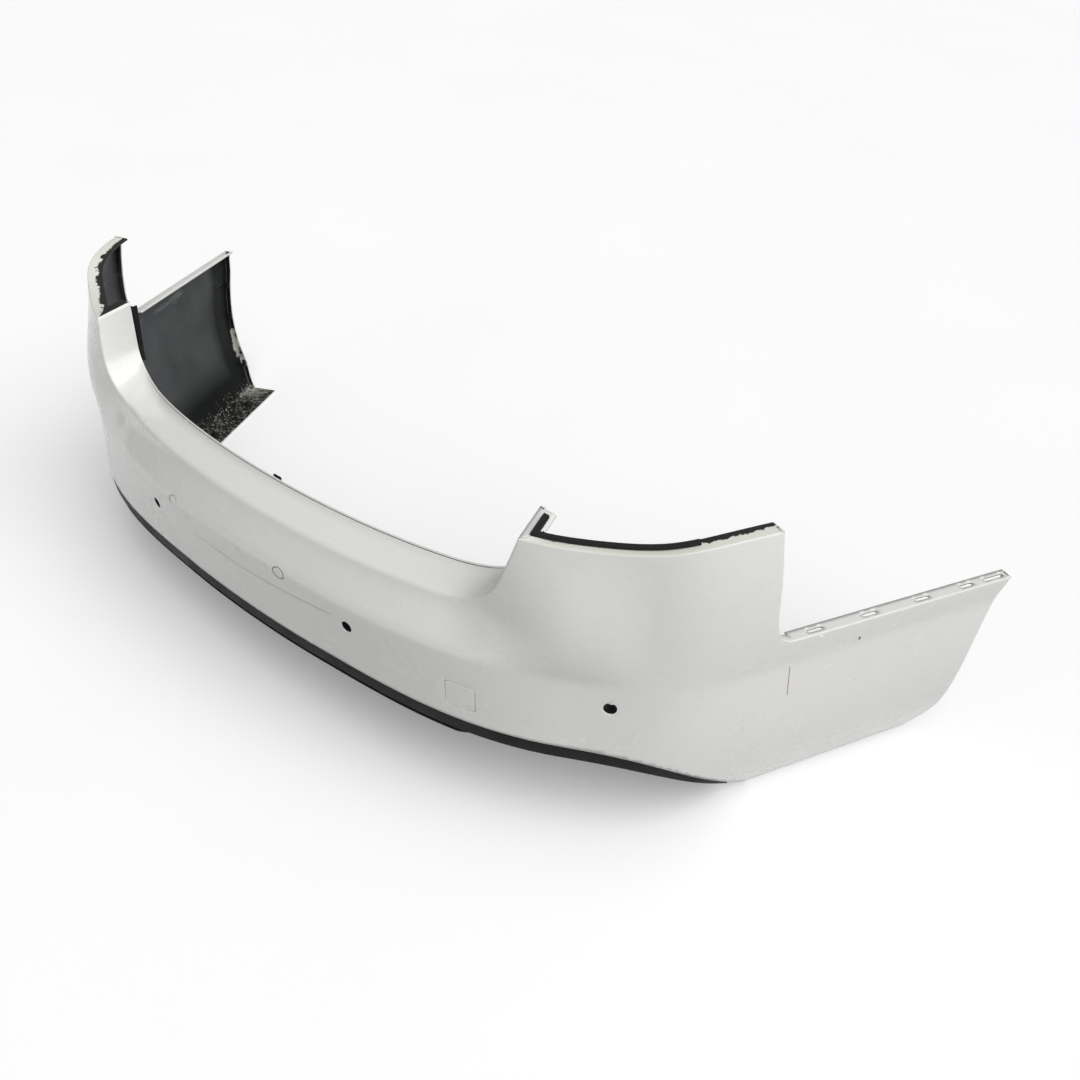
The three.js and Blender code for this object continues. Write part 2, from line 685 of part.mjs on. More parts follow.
// ---------- towing eye cover ----------
function towCover(blank) {
  const frame = frameOn(...TOW_AT);
  const plate = blank.intersect(placed(towPrism(0), frame));
  const rib = new THREE.BoxGeometry(12, 2, 9);
  const top = TOW_SIZE[1] / 2 - 5;
  const ribs = [-10, 10].map((x) => placed(rib.clone().translate(x, top, -SKIN - 2.5), frame));
  const low = -TOW_SIZE[1] / 2;
  const riser = placed(new THREE.BoxGeometry(16, 6, 3.4).translate(0, low + 5, -SKIN - 1.2), frame);
  const tab = placed(new THREE.BoxGeometry(16, 12, 1.6).translate(0, low + 2, -SKIN - 2.2), frame);
  return [...ribs, riser, tab].reduce((all, one) => all.add(one), plate);
}

// ---------- the assembly ----------
const model = new THREE.Group();

function addPart(name, solid, material) {
  const mesh = new THREE.Mesh(toGeometry(solid), material);
  mesh.name = name;
  model.add(mesh);
}

const addSet = (name, solids, material) => solids.forEach((s, i) => addPart(`${name}_${i + 1}`, s, material));

const shell = skinShell();
const opened = wingCuts(sensorHoles(shell)).subtract(placed(towPrism(TOW_GAP), frameOn(...TOW_AT)));
addPart('bumper_skin', opened, paint);
addPart('tow_eye_cover', towCover(shell), paint);
addPart('lower_valance', valance(), blackPlastic);
addPart('valance_centre_panel', centrePanel(), blackPlastic);
addSet('valance_clip', valanceClips(), blackPlastic);
addPart('lamp_seal_right', lampSeal(), foam);
addSet('centre_panel_screw', panelScrews(), steel);
addPart('boot_flange_clip', bootClip(), blackPlastic);

for (const [hand, side] of [['left', -1], ['right', 1]]) {
  const bracket = side > 0 ? postBracket() : postBracket().mirror([1, 0, 0]);
  addPart(`post_bracket_${hand}`, bracket, blackPlastic);
  SENSOR_AT.forEach(([q, z], i) => {
    const where = ['inner', 'outer'][i];
    const frame = frameOn(side * q, z, -SKIN - 1);
    addPart(`sensor_holder_${where}_${hand}`, moved(sensorHolder(), frame), blackPlastic);
  });
  addSet(`arch_clip_${hand}`, archClips(side), steel);
  addSet(`skirt_nut_${hand}`, skirtNuts(side), steel);
}

// the origin is on the ground under the middle of the part
const box = new THREE.Box3().setFromObject(model);
model.position.set(0, -(box.min.y + box.max.y) / 2, -box.min.z);

export default model;
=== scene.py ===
# Rear bumper cover of a saloon car: the looks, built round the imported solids.
# Lengths are in millimetres in the car's own frame until a mesh is made, in metres in the row frame.
import math

import bpy
import numpy as np
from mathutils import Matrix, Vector
from mathutils.geometry import delaunay_2d_cdt
from mathutils.kdtree import KDTree


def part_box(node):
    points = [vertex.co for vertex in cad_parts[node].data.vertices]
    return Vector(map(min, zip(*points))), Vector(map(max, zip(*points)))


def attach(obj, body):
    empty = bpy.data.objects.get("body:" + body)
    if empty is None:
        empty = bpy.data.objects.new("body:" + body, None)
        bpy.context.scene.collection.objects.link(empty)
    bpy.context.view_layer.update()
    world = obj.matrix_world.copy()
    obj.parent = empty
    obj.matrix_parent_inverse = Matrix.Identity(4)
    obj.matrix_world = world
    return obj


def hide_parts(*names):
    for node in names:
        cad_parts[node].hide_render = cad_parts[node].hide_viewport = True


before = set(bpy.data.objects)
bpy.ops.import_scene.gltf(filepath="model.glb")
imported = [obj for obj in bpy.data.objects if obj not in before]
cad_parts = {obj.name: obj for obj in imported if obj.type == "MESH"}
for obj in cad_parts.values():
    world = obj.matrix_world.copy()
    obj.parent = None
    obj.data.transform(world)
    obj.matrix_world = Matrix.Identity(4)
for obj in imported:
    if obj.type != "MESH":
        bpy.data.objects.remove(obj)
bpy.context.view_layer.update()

# ---------- driving dimensions, the same as the solids' ----------
SKIN = 3.0
VALANCE_WALL = 2.5
GAP = 0.5
REAR_HALF = 561.0
REAR_Y = -108.0
REAR_RISE = (64.0, 35.0, 8.0)
CORNER_TURN = (29.4, 65.0)
CORNER_END = (771.0, 220.0)
CORNER_PULL = (460.0, 480.0)
CORNER_LENGTH = 412.0
WING_LENGTH = 366.0
CREASE_Z = 338.6
LINE_Z = 283.5
LINE_DROP = 9.0
FACE_LEAN = 40.0
FACE_HEIGHT = 58.0
LOWER_Z = 158.0
SIDE_DEPTH = 274.0
LEDGE_DEPTH = 52.0
LEDGE_RISE = 23.4
FLAT_PART = 0.82
LEDGE_DIP = 7.5
LIP = 9.0
POST_START = 0.69
POST_TOP = (0.893, 462.3)
POST_TIP = (474.0, 60.0, 476.9)
SEAM_TOP = (1.932, 489.0)
SEAM_FOOT = (1.99, 321.0)
WING_TOP_FALL = 9.0
WING_TIP = 2.985
WING_MIDDLE = 2.5
WING_END = 2.80
EDGE_FALL = 0.8
SEAT_FLANGE = 26.0
SEAM_FLANGE = 14.0
WING_FLANGE = 20.0
SKIRT_FLANGE = 62.0
ARCH_FLANGE = 13.0
VALANCE_END = 1.9
VALANCE_TAB = 12.0
PANEL_END = 0.798
PANEL_FOOT = 24.0
SENSOR_HOLE = 18.5
SENSOR_AT = ((0.427, 240.0), (1.173, 236.0))
TOW_AT = (0.766, 202.0)
TOW_SIZE = (46.0, 40.0)
TOW_CORNER = 9.0
TOW_GAP = 0.8
SEAL_HEIGHT = 4.5
SEAL_BAND = (0.46, 0.8)
SEAL_POST_END = 0.79           # how far along the post's top the strip starts
SLOT_WIDTH = 6.8
SLOT_TRIM = 6.4                # a slot's length less its straight part
SLOT_INSET = 10.0
SKIRT_HOLE = 4.0
SKIRT_HOLE_INSET = 34.0
HOLE_ROLL = 0.7
TOW_ROLL = 0.9
LEDGE_ROUND = 9.0
LIP_ROUND = 2.5
BARE_SEAT = 0.03               # deeper than any paint on the seat, in metres
SLOTS = ((0.11, 24.0), (0.35, 24.0), (0.59, 24.0), (0.8, 22.0), (0.93, 34.0))
SKIRT_HOLES = (0.22, 0.72)
BESIDE = np.array([SEAT_FLANGE, 2.0, -2.0])   # from the post's top edge across its part of the seat

MESH_PITCH = 6.5
FINE = 400
SHIFT_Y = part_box("bumper_skin")[0][1] * 1000 - REAR_Y


# ---------- the outer surface, vectorised ----------
def ease(a, b, v):
    t = np.clip((v - a) / (b - a), 0, 1)
    return t * t * (3 - 2 * t)


def mix(a, b, t):
    return a + (b - a) * t


def curve(a, b, c, t):
    """The point at t on the curve that leaves a towards b and ends at c."""
    return (1 - t) ** 2 * a + 2 * t * (1 - t) * b + t * t * c


def rear_curve(h):
    u = h * h
    a, b, c = REAR_RISE
    slope = (a + u * (2 * b + u * 3 * c)) * 2 * h / REAR_HALF
    return REAR_HALF * h, REAR_Y + u * (a + u * (b + u * c)), np.ones_like(h), slope


def corner_curve(w):
    sx, sy, _, _ = rear_curve(np.array(1.0))
    turns = np.radians(CORNER_TURN)
    t0, t1 = [(p * math.cos(a), p * math.sin(a)) for a, p in zip(turns, CORNER_PULL)]
    h = (2 * w**3 - 3 * w * w + 1, w**3 - 2 * w * w + w, 3 * w * w - 2 * w**3, w**3 - w * w)
    d = (6 * w * w - 6 * w, 3 * w * w - 4 * w + 1, 6 * w - 6 * w * w, 3 * w * w - 2 * w)
    ends = ((sx, t0[0], CORNER_END[0], t1[0]), (sy, t0[1], CORNER_END[1], t1[1]))
    return [sum(k * e for k, e in zip(weights, end)) for weights in (h, d) for end in ends]


def wing_curve(w):
    a = math.radians(CORNER_TURN[1])
    x, y = [c + WING_LENGTH * w * t for c, t in zip(CORNER_END, (math.cos(a), math.sin(a)))]
    return x, y, np.full_like(w, math.cos(a)), np.full_like(w, math.sin(a))


def plan(q):
    """x, y and the outward direction (x, y), at each station."""
    q = np.asarray(q, float)
    half = np.abs(q)
    side = np.where(q < 0, -1.0, 1.0)
    corner = corner_curve(np.clip(half - 1, 0, 1))
    parts = rear_curve(np.minimum(half, 1)), corner, wing_curve(half - 2)
    x, y, ax, ay = [np.where(half <= 1, r, np.where(half <= 2, c, w)) for r, c, w in zip(*parts)]
    n = np.hypot(ax, ay)
    return side * x, y, side * ay / n, -ax / n


def line_z(q):
    return LINE_Z - LINE_DROP * ease(0, 1, np.abs(q))


def settle(v):
    return np.where(v < 0.75, v, np.where(v > 1.25, 1, v - (v - 0.75) ** 2))


def stand_out(q, z):
    half = np.abs(q)
    t = z - line_z(q)
    up = np.maximum(t, 0)
    k = np.clip(half - 1, -0.2, 1)
    shoulder = 14 * np.sin(np.pi * np.minimum(1, up / 190) ** 0.8) * (1 - ease(1, 1.35, half))
    corner = (0.32 * k - 0.16) * up - 0.00102 * k * up * up + shoulder
    above = mix(-FACE_LEAN * settle(up / FACE_HEIGHT), corner, ease(0.7, 1.02, half))
    depth = np.maximum(-t, 0) / SIDE_DEPTH
    side = 10 * depth - 59 * depth**3
    rear = (depth * SIDE_DEPTH / 120) * (17 * ease(0.3, 1.05, half) - 7)
    return np.where(t >= 0, above, mix(rear, side, ease(0.9, 1.9, half)))


def soft_stand_out(q, z):
    """The same, with the character line rounded."""
    total = 0
    for shift, weight in ((-9, 1), (-6, 2), (-3, 3), (0, 4), (3, 3), (6, 2), (9, 1)):
        total = total + weight * stand_out(q, z + shift)
    return total / 16


def surface(q, z, lift=0.0):
    q, z = np.broadcast_arrays(np.asarray(q, float), np.asarray(z, float))
    x, y, ox, oy = plan(q)
    n = soft_stand_out(q, z) + lift
    return np.stack([x + ox * n, y + oy * n, z], -1)


def outward(q):
    _, _, ox, oy = plan(q)
    return np.stack([ox, oy, np.zeros_like(ox)], -1)


def arc(q):
    half = np.abs(q)
    length = REAR_HALF * np.minimum(half, 1) + CORNER_LENGTH * np.clip(half - 1, 0, 1)
    return np.sign(q) * (length + WING_LENGTH * np.maximum(half - 2, 0))


def unarc(a):
    half = np.abs(a)
    q = np.minimum(half / REAR_HALF, 1) + np.clip((half - REAR_HALF) / CORNER_LENGTH, 0, 1)
    return np.sign(a) * (q + np.maximum(half - REAR_HALF - CORNER_LENGTH, 0) / WING_LENGTH)


# ---------- edges of the shell ----------
def lower_z(q):
    half = np.abs(q)
    fall = np.maximum(0, half - EDGE_FALL) / (SEAM_FOOT[0] - EDGE_FALL)
    return np.where(half >= SEAM_FOOT[0], 0, LOWER_Z * (1 - np.minimum(fall, 1) ** 2.9))


def arch_station(z):
    return WING_END + 0.065 * ease(0, 70, z) + 0.12 * (z / 309) ** 3


def wing_top_z(q):
    return SEAM_FOOT[1] - WING_TOP_FALL * (np.abs(q) - SEAM_FOOT[0])


def seat_z(q):
    return mix(POST_TOP[1], SEAM_TOP[1], ease(0.95, 1.93, np.abs(q)))


def bend_line(w, bend, foot, elbow, knee, top):
    """A curve from foot to knee, then a straight line to top."""
    w = np.asarray(w, float)[:, None]
    foot, elbow, knee, top = (np.asarray(p, float) for p in (foot, elbow, knee, top))
    t = np.minimum(w / bend, 1)
    straight = mix(knee, top, (w - bend) / (1 - bend))
    return np.where(w > bend, straight, curve(foot, elbow, knee, t))


def post_edge(w):
    return bend_line(w, 0.6, (POST_START, CREASE_Z), (0.815, CREASE_Z), (0.853, 401), POST_TOP)


def seam_edge(w):
    return bend_line(w, 0.32, SEAM_FOOT, (1.93, 326), (1.927, 375), SEAM_TOP)


def ledge_front(q):
    p = surface(q, CREASE_Z) - outward(q) * LEDGE_DEPTH
    p[..., 2] = CREASE_Z + LEDGE_RISE
    return p


def opening_edge(w):
    foot = ledge_front(np.array([POST_START]))[0]
    return bend_line(w, 0.6, foot, (450, 44, foot[2]), (463, 51, 401), POST_TIP)


# ---------- mesh helpers ----------
class Sheet:
    """Points and faces gathered from several grids; equal points are one vertex."""

    def __init__(self):
        self.points, self.faces, self.seen = [], [], {}

    def index(self, p):
        key = (round(p[0] * 50), round(p[1] * 50), round(p[2] * 50))
        if key not in self.seen:
            self.seen[key] = len(self.points)
            self.points.append(tuple(p))
        return self.seen[key]

    def add_face(self, corners):
        unique = list(dict.fromkeys(corners))
        if len(unique) > 2:
            self.faces.append(unique)

    def add_rows(self, rows, turned=False):
        ids = [[self.index(p) for p in row] for row in rows]
        for low, high in zip(ids, ids[1:]):
            for i in range(len(low) - 1):
                cell = [low[i], low[i + 1], high[i + 1], high[i]]
                self.add_face(cell[::-1] if turned else cell)

    def add_triangles(self, points, triangles):
        ids = [self.index(p) for p in points]
        for t in triangles:
            self.add_face([ids[i] for i in t])

    def make(self, name, material_names):
        mesh = bpy.data.meshes.new(name)
        points = (np.array(self.points) + (0, SHIFT_Y, 0)) / 1000
        mesh.from_pydata([tuple(p) for p in points], [], self.faces)
        mesh.validate()
        mesh.shade_smooth()
        for m in material_names:
            mesh.materials.append(bpy.data.materials[m])
        obj = bpy.data.objects.new(name, mesh)
        bpy.context.scene.collection.objects.link(obj)
        return obj


def rounded(points, radii, segments=5):
    """Rows along a profile of point arrays, with each inner corner rounded off over its radius."""
    rows = [points[0]]
    for i in range(1, len(points) - 1):
        a, b, c = points[i - 1], points[i], points[i + 1]
        r = radii[i - 1]
        if r is None:
            rows.append(b)
            continue
        before, after = a - b, c - b
        la = np.linalg.norm(before, axis=-1, keepdims=True)
        lc = np.linalg.norm(after, axis=-1, keepdims=True)
        start = b + before / np.maximum(la, 1e-6) * np.minimum(r, 0.48 * la)
        end = b + after / np.maximum(lc, 1e-6) * np.minimum(r, 0.48 * lc)
        for k in range(segments + 1):
            rows.append(curve(start, b, end, k / segments))
    rows.append(points[-1])
    return rows


def subdivided(rows, most):
    """Adds rows so that neighbours are at most that far apart."""
    out = [rows[0]]
    for a, b in zip(rows, rows[1:]):
        n = max(1, math.ceil(np.linalg.norm(b - a, axis=-1).max() / most))
        out += [mix(a, b, k / n) for k in range(1, n + 1)]
    return out


def inside(points, polygon):
    x, y = points[:, 0][:, None], points[:, 1][:, None]
    x0, y0 = polygon[:, 0], polygon[:, 1]
    x1, y1 = np.roll(x0, -1), np.roll(y0, -1)
    spans = (y0 > y) != (y1 > y)
    with np.errstate(divide="ignore", invalid="ignore"):
        cross = x < (x1 - x0) * (y - y0) / (y1 - y0) + x0
    return (spans & cross).sum(axis=1) % 2 == 1


def fill(outline, holes, pitch):
    """Triangles that fill a flat outline round its holes, with an even pattern of points inside."""
    loops = [outline] + holes
    tree = KDTree(sum(len(l) for l in loops))
    n = 0
    for loop in loops:
        for p in loop:
            tree.insert((p[0], p[1], 0), n)
            n += 1
    tree.balance()
    low, high = outline.min(axis=0), outline.max(axis=0)
    middle = (low[0] + high[0]) / 2
    columns = int((high[0] - low[0]) / 2 / pitch) + 1
    grid = []
    for j, y in enumerate(np.arange(low[1], high[1], pitch * 0.866)):
        x = middle + (np.arange(-columns, columns + 1) + (j % 2) * 0.5) * pitch
        grid.append(np.stack([x, np.full_like(x, y)], -1))
    grid = np.concatenate(grid)
    grid = grid[inside(grid, outline)]
    for hole in holes:
        grid = grid[~inside(grid, hole)]
    near = np.array([tree.find((p[0], p[1], 0))[2] for p in grid])
    grid = grid[near > 0.62 * pitch]
    points = [Vector(p) for loop in loops for p in loop] + [Vector(p) for p in grid]
    edges, start = [], 0
    for loop in loops:
        edges += [(start + i, start + (i + 1) % len(loop)) for i in range(len(loop))]
        start += len(loop)
    verts, _, faces, _, _, _ = delaunay_2d_cdt(points, edges, [], 1, 1e-5)
    verts = np.array([(v[0], v[1]) for v in verts])
    faces = np.array([f for f in faces if len(f) == 3])
    centres = verts[faces].mean(axis=1)
    keep = inside(centres, outline)
    for hole in holes:
        keep &= ~inside(centres, hole)
    faces = faces[keep]
    a, b, c = (verts[faces[:, i]] for i in range(3))
    ab, ac = b - a, c - a
    turned = ab[:, 0] * ac[:, 1] - ab[:, 1] * ac[:, 0] < 0
    faces[turned] = faces[turned][:, ::-1]
    return verts, faces


def inset(loop, amount):
    """A closed loop moved to its left by an amount at each point."""
    step = np.roll(loop, -1, axis=0) - loop
    step /= np.linalg.norm(step, axis=1, keepdims=True)
    left = np.stack([-step[:, 1], step[:, 0]], -1)
    both = left + np.roll(left, 1, axis=0)
    both /= np.linalg.norm(both, axis=1, keepdims=True)
    scale = 1 / np.maximum(0.6, (both * left).sum(axis=1))
    return loop + both * (amount * scale)[:, None]


def paced(points, pitch, n=0):
    """A polyline resampled at an even pace or into n steps, ends kept."""
    length = np.concatenate([[0], np.cumsum(np.linalg.norm(np.diff(points, axis=0), axis=1))])
    n = n or max(1, round(length[-1] / pitch))
    at = np.linspace(0, length[-1], n + 1)
    return np.stack([np.interp(at, length, points[:, k]) for k in range(points.shape[1])], -1)


# ---------- outline of the painted shell, as (arc, height) ----------
def flattened(q, z):
    """Stations and heights as (arc, height)."""
    return np.stack(np.broadcast_arrays(arc(q), z), -1)


def half_outline():
    """Segments of the right half, from the bottom centre round to the crease's centre."""
    dense = np.linspace(0, 1, FINE)
    q = dense * SEAM_FOOT[0]
    bottom = flattened(q, lower_z(q))
    skirt = flattened(mix(SEAM_FOOT[0], arch_station(0), dense), 0.0)
    z = dense * wing_top_z(WING_TIP)
    arch = flattened(arch_station(z), z)
    z = wing_top_z(mix(SEAM_FOOT[0], WING_TIP, dense[::-1]))
    wing_top = flattened(mix(SEAM_FOOT[0], arch_station(z), dense[::-1]), z)
    seam = flattened(*seam_edge(dense).T)
    q = mix(POST_TOP[0], SEAM_TOP[0], dense[::-1])
    seat = flattened(q, seat_z(q))
    post = flattened(*post_edge(dense[::-1]).T)
    crease = flattened(POST_START * dense[::-1], CREASE_Z)
    parts = dict(bottom=bottom, skirt=skirt, arch=arch, wing_top=wing_top,
                 seam=seam, seat=seat, post=post, crease=crease)
    return {name: paced(part, 4.0) for name, part in parts.items()}


ROUND = dict(bottom=1.0, skirt=3.0, arch=2.0, wing_top=2.2,
             seam=1.8, seat=1.8, post=5.0, crease=6.5)
SHARP_STARTS = ("skirt", "arch", "wing_top", "seat", "post")


def shell_outline():
    """The closed outline with each point's segment name, side and rounding radius."""
    half = half_outline()
    points, labels = [], []
    for name, part in half.items():
        points.append(part[:-1])
        labels += [(name, 1)] * (len(part) - 1)
    right = np.concatenate(points + [half["crease"][-1:]])
    labels.append(("crease", 1))
    mirror = right[::-1] * (-1, 1)
    loop = np.concatenate([right, mirror[1:-1]])
    names = labels + [(labels[i][0], -1) for i in range(len(right) - 2, 0, -1)]
    corners = np.array([half[n][0] for n in SHARP_STARTS])
    corners = np.concatenate([corners, corners * (-1, 1)])
    radius = np.array([ROUND[n] for n, _ in names])
    for _ in range(6):
        radius = (np.roll(radius, 1) + radius + np.roll(radius, -1)) / 3
    away = np.linalg.norm(loop[:, None] - corners[None], axis=2).min(axis=1)
    radius = np.minimum(radius, 0.5 + 0.3 * away)
    return loop, names, radius


def hole_loop(centre, outline):
    """A loop round a point of the surface, from millimetres along and up."""
    q, z = centre
    before, after = q - 0.001, q + 0.001
    pace = np.linalg.norm(surface(after, z) - surface(before, z)) / abs(arc(after) - arc(before))
    return np.stack([arc(np.array(q)) + outline[:, 0] / pace, z + outline[:, 1]], -1)


def tow_outline(grow):
    w, h = (size / 2 + grow for size in TOW_SIZE)
    small, large = 3 + grow, TOW_CORNER + grow
    points = []
    corners = (
        ((w, -h), (w - small, -h), (w, -h + small)),
        ((w, h), (w, h - large), (w - large, h)),
        ((-w, h), (-w + small, h), (-w, h - small)),
        ((-w, -h), (-w, -h + large), (-w + large, -h)),
    )
    for corner, a, b in np.array(corners):
        points += [curve(a, corner, b, t) for t in np.linspace(0, 1, 7)]
    points.append(points[0])
    return paced(np.array(points), 2.0, 84)[:-1]


def circle(radius, n=40):
    a = np.linspace(0, 2 * np.pi, n, endpoint=False)
    return np.stack([radius * np.cos(a), radius * np.sin(a)], -1)


def on_surface(flat, lift=0.0):
    return surface(unarc(flat[:, 0]), flat[:, 1], lift)


def surface_normal(flat):
    q, z = unarc(flat[:, 0]), flat[:, 1]
    across = surface(q + 0.002, z) - surface(q - 0.002, z)
    up = surface(q, z + 1.0) - surface(q, z - 1.0)
    n = np.cross(across, up)
    return n / np.linalg.norm(n, axis=-1, keepdims=True)


def rolled_edge(sheet, inner_loop, edge_loop, radius, depth):
    """A small rolled edge from the surface into a hole or round a plate."""
    edge = on_surface(edge_loop)
    start = on_surface(inner_loop)
    drop = surface_normal(edge_loop)
    end = edge - drop * radius
    rows = [curve(start, edge, end, t) for t in (0, 0.25, 0.5, 0.75, 1)]
    rows.append(edge - drop * depth)
    sheet.add_rows([np.concatenate([r, r[:1]]) for r in rows])


# ---------- the painted shell ----------
def ledge_profile(outer, front):
    dip = LEDGE_DIP * (1 - ease(CREASE_Z, CREASE_Z + 60, outer[:, 2]))
    crease = mix(outer, front, FLAT_PART)
    crease[:, 2] -= dip
    post = ease(CREASE_Z + LEDGE_RISE, 401, front[:, 2])
    side = np.where(front[:, 0] < 0, -1.0, 1.0)
    lip = front + np.stack([side * LIP * post, np.zeros_like(post), -LIP * (1 - post)], -1)
    return crease, front, lip


def seat_depth(q):
    """From the lamp's edge across its seat; at the post it runs to the corner of the L."""
    along_post = np.array(POST_TIP) - surface(*POST_TOP)
    along_post /= np.hypot(*along_post[:2])
    near = 1 - np.clip((q - POST_TOP[0]) / 0.06, 0, 1)[:, None]
    level = -outward(q) * SEAT_FLANGE + (0, 0, -2.0)
    return mix(level, along_post * SEAT_FLANGE + BESIDE, near)


def flange_end(name, side, flat, edge):
    """Where the flange that starts at an edge ends."""
    turn = np.array([side, 1.0, 1.0])
    if name == "seat":
        return edge + seat_depth(np.abs(unarc(flat[:, 0]))) * turn
    depths = dict(skirt=SKIRT_FLANGE, arch=ARCH_FLANGE, wing_top=WING_FLANGE, seam=SEAM_FLANGE)
    station = SEAM_FOOT[0] if name == "seam" else WING_MIDDLE
    return edge - outward(np.array(station)) * turn * depths[name]


def flange_holes(name, length):
    if name == "wing_top":
        loops = []
        r = SLOT_WIDTH / 2
        a = np.linspace(-np.pi / 2, np.pi / 2, 8)
        for f, size in SLOTS:
            along = (1 - f) * length
            half = (size - SLOT_TRIM) / 2
            right = np.stack([along + half + r * np.cos(a), SLOT_INSET + r * np.sin(a)], -1)
            left = np.stack([along - half - r * np.cos(a), SLOT_INSET - r * np.sin(a)], -1)
            loops.append(np.concatenate([right, left]))
        return loops
    if name == "skirt":
        return [circle(SKIRT_HOLE, 24) + (f * length, SKIRT_HOLE_INSET) for f in SKIRT_HOLES]
    return []


def add_flange(sheet, name, side, flat, start, radius):
    edge = on_surface(flat)
    end = flange_end(name, side, flat, edge)
    depth = np.linalg.norm(end - edge, axis=1).mean()
    inward = (end - edge) / depth
    turned = edge + inward * radius[:, None]
    rows = [curve(start, edge, turned, t) for t in np.linspace(0, 1, 6)]
    sheet.add_rows(rows[::-1])
    run = np.concatenate([[0], np.cumsum(np.linalg.norm(np.diff(edge, axis=0), axis=1))])
    if side < 0:
        run = run[-1] - run
    holes = flange_holes(name, run[-1])
    first = np.stack([run, radius], -1)
    last = np.stack([run, np.full_like(run, depth)], -1)
    sides = []
    for i in (-1, 0):
        n = max(2, round((depth - radius[i]) / 5))
        ends = np.stack([np.full(n + 1, run[i]), np.linspace(radius[i], depth, n + 1)], -1)[1:-1]
        sides.append(ends if i else ends[::-1])
    loop = np.concatenate([first, sides[0], last[::-1], sides[1]])
    verts, faces = fill(loop, holes, 5.0 if depth < 40 else 7.0)
    order = np.argsort(run)
    beside, into = (
        np.stack([np.interp(verts[:, 0], run[order], values[order, k]) for k in range(3)], -1)
        for values in (edge, inward)
    )
    placed = beside + into * verts[:, 1:2]
    sheet.add_triangles(placed, faces[:, ::-1] if side > 0 else faces)


def mark_edges(obj, seat_points, loop, names):
    """Stores, in metres, each point's distance from the arch edge and how deep it is in a seat."""
    trees = {}
    for kind in ("arch", "seat"):
        chosen = on_surface(loop[[i for i, (n, _) in enumerate(names) if n == kind]])
        trees[kind] = KDTree(len(chosen))
        for i, p in enumerate(chosen):
            trees[kind].insert(Vector((p + (0, SHIFT_Y, 0)) / 1000), i)
        trees[kind].balance()
    from_arch = [trees["arch"].find(v.co)[2] for v in obj.data.vertices]
    depth = [0.0] * len(from_arch)
    for i, start in seat_points.items():
        depth[i] = start if start else trees["seat"].find(obj.data.vertices[i].co)[2]
    for name, values in (("arch_distance", from_arch), ("seat_depth", depth)):
        layer = obj.data.attributes.new(name, "FLOAT", "POINT")
        layer.data.foreach_set("value", values)


def shell_holes():
    """For each hole: the loop where its rolled edge starts, its own loop, and the roll's radius."""
    holes = []
    for q, z in SENSOR_AT:
        for side in (-1, 1):
            loops = [circle(SENSOR_HOLE / 2 + roll) for roll in (HOLE_ROLL, 0)]
            wide, edge = (hole_loop((side * q, z), loop) for loop in loops)
            holes.append((wide, edge, HOLE_ROLL))
    wide, edge = (hole_loop(TOW_AT, tow_outline(TOW_GAP + roll)) for roll in (TOW_ROLL, 0))
    return holes + [(wide, edge, TOW_ROLL)]


def add_flanges(sheet, loop, names, radius, inner):
    """A flange for each run of outline points but the bottom, the crease and the posts. Returns the
    lamp seats' points, at depth 0.
    """
    seat_points = {}
    count = len(loop)
    first = 0
    while first < count:
        last = first
        while last + 1 < count and names[last + 1] == names[first]:
            last += 1
        name, side = names[first]
        ids = [i % count for i in range(first - (side < 0), last + 1 + (side > 0))]
        if name not in ("bottom", "crease", "post"):
            before = len(sheet.points)
            add_flange(sheet, name, side, loop[ids], on_surface(inner[ids]), radius[ids])
            if name == "seat":
                seat_points.update({i: 0.0 for i in range(before, len(sheet.points))})
        first = last + 1
    return seat_points


def front_edge(flat):
    """The edge of the boot opening, across from each point of the crease and the posts."""
    front = ledge_front(np.clip(unarc(flat[:, 0]), -POST_START, POST_START))
    post = flattened(*post_edge(np.linspace(0, 1, FINE)).T)
    for i, (a, z) in enumerate(flat):
        if abs(unarc(np.array(a))) > POST_START + 1e-6:
            nearest = np.argmin(np.linalg.norm(post - (abs(a), z), axis=1))
            side = -1 if a < 0 else 1
            front[i] = opening_edge(np.array([nearest / (FINE - 1)]))[0] * (side, 1, 1)
    return front


def add_ledge(sheet, loop, names, radius, inner):
    """The ledge with both posts: one strip from the right post's top to the left one's."""
    strip = [i for i, (name, _) in enumerate(names) if name in ("post", "crease")]
    start = on_surface(inner[strip])
    outer = on_surface(loop[strip])
    crease, front, lip = ledge_profile(outer, front_edge(loop[strip]))
    toward = crease - outer
    toward /= np.linalg.norm(toward, axis=1, keepdims=True)
    begin = outer + toward * radius[strip][:, None]
    rows = [curve(start, outer, begin, t) for t in np.linspace(0, 1, 7)]
    profile = rounded([begin, crease, front, lip], [LEDGE_ROUND, LIP_ROUND])
    rest = subdivided(profile, 6.0)
    sheet.add_rows([row[::-1] for row in rows + rest[1:]])
    return rest, front


def add_post_seats(sheet, rest, front):
    """The seat carries on along each post's top, out to its tip. Returns the left one's points."""
    distances = [np.linalg.norm(row[0] - front[0]) for row in rest]
    tip_row = next(i for i, distance in enumerate(distances) if distance < LIP_ROUND + 0.1)
    for end, hand in ((0, 1), (-1, -1)):
        top = np.array([row[end] for row in rest[:tip_row + 1]])
        run = np.linalg.norm(top - top[0], axis=1)
        rows = []
        for t in np.linspace(1, 0, 5):
            at = np.linspace(SEAT_FLANGE * t, run[-1], 24)
            row = np.stack([np.interp(at, run, top[:, k]) for k in range(3)], -1)
            rows.append(row + BESIDE * (hand, 1, 1) * t)
        sheet.add_rows(rows, turned=hand < 0)
    return {sheet.index(p) for row in rows[:-1] for p in row}


